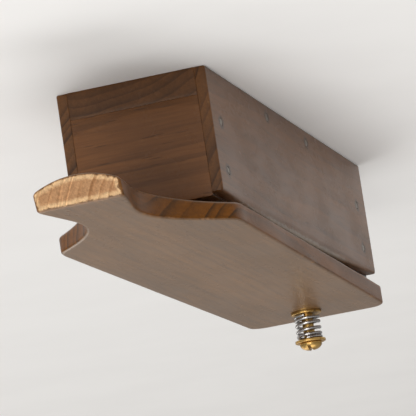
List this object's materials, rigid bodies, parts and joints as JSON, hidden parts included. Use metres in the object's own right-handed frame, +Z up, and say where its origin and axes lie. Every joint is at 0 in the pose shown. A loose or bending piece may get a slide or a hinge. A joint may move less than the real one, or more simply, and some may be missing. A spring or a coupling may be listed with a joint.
{
  "type": "box turkey call",
  "caption": "Wooden box-style game call: thin-sided sound box under a spring-held paddle lid with a necked handle that swings and rocks on one hinge screw.",
  "frame": {"origin": "where the hinge screw's axis meets the underside of the base board", "axes": "+X along the length towards the lid's handle, +Z up towards the lid, +Y to the left when looking along +X"},
  "size_m": [0.298, 0.06, 0.0665],
  "materials": {
    "lid_wood": "satin",
    "side_wood": "satin",
    "block_wood": "satin",
    "brass": "worn satin",
    "spring_steel": "bright",
    "brad_steel": "dull",
    "nylon": "matte"
  },
  "bodies": {
    "box": {"base_board": "block_wood", "left_sound_board": "side_wood", "right_sound_board": "side_wood", "hinge_end_block": "block_wood", "handle_end_block": "block_wood", "brad_left_hinge_lower": "brad_steel", "brad_left_hinge_upper": "brad_steel", "brad_left_handle_lower": "brad_steel", "brad_left_handle_upper": "brad_steel", "brad_left_base_rear": "brad_steel", "brad_left_base_front": "brad_steel", "brad_right_hinge_lower": "brad_steel", "brad_right_hinge_upper": "brad_steel", "brad_right_handle_lower": "brad_steel", "brad_right_handle_upper": "brad_steel", "brad_right_base_rear": "brad_steel", "brad_right_base_front": "brad_steel"},
    "pivot": {"pivot_washer": "nylon"},
    "lid": {"paddle_lid": "lid_wood"},
    "spring_seat": {"lower_spring_washer": "brass"},
    "spring_cap": {"upper_spring_washer": "brass", "tension_spring": "spring_steel"},
    "screw": {"hinge_screw": "brass"}
  },
  "joints": [
    {"name": "lid_swing", "type": "hinge", "parent": "box", "child": "pivot", "pos_m": [0, 0, 0.0432], "axis": [0, 0, 1], "continuous": true},
    {"name": "lid_lift", "type": "hinge", "parent": "pivot", "child": "lid", "pos_m": [-0.0075, 0, 0.0432], "axis": [0, -1, 0], "range_deg": [0, 3.5], "stiffness_Nm_per_rad": 0.98, "springref_deg": -10.08},
    {"name": "seat_rise", "type": "slide", "parent": "box", "child": "spring_seat", "axis": [0, 0, 1], "range_m": [0, 0.00095]},
    {"name": "tension_feed", "type": "slide", "parent": "box", "child": "spring_cap", "axis": [0, 0, 1], "range_m": [-0.0007, 0.0007], "deforming": ["tension_spring"]},
    {"name": "tension_turn", "type": "hinge", "parent": "spring_cap", "child": "screw", "pos_m": [0, 0, 0.0637], "axis": [0, 0, 1], "range_deg": [-180, 180], "stiffness_Nm_per_rad": 0.001}
  ],
  "couplings": [
    {"joint": "seat_rise", "follows": "lid_lift", "m_per_rad": 0.0142},
    {"joint": "tension_turn", "follows": "tension_feed", "rad_per_m": 4488}
  ]
}
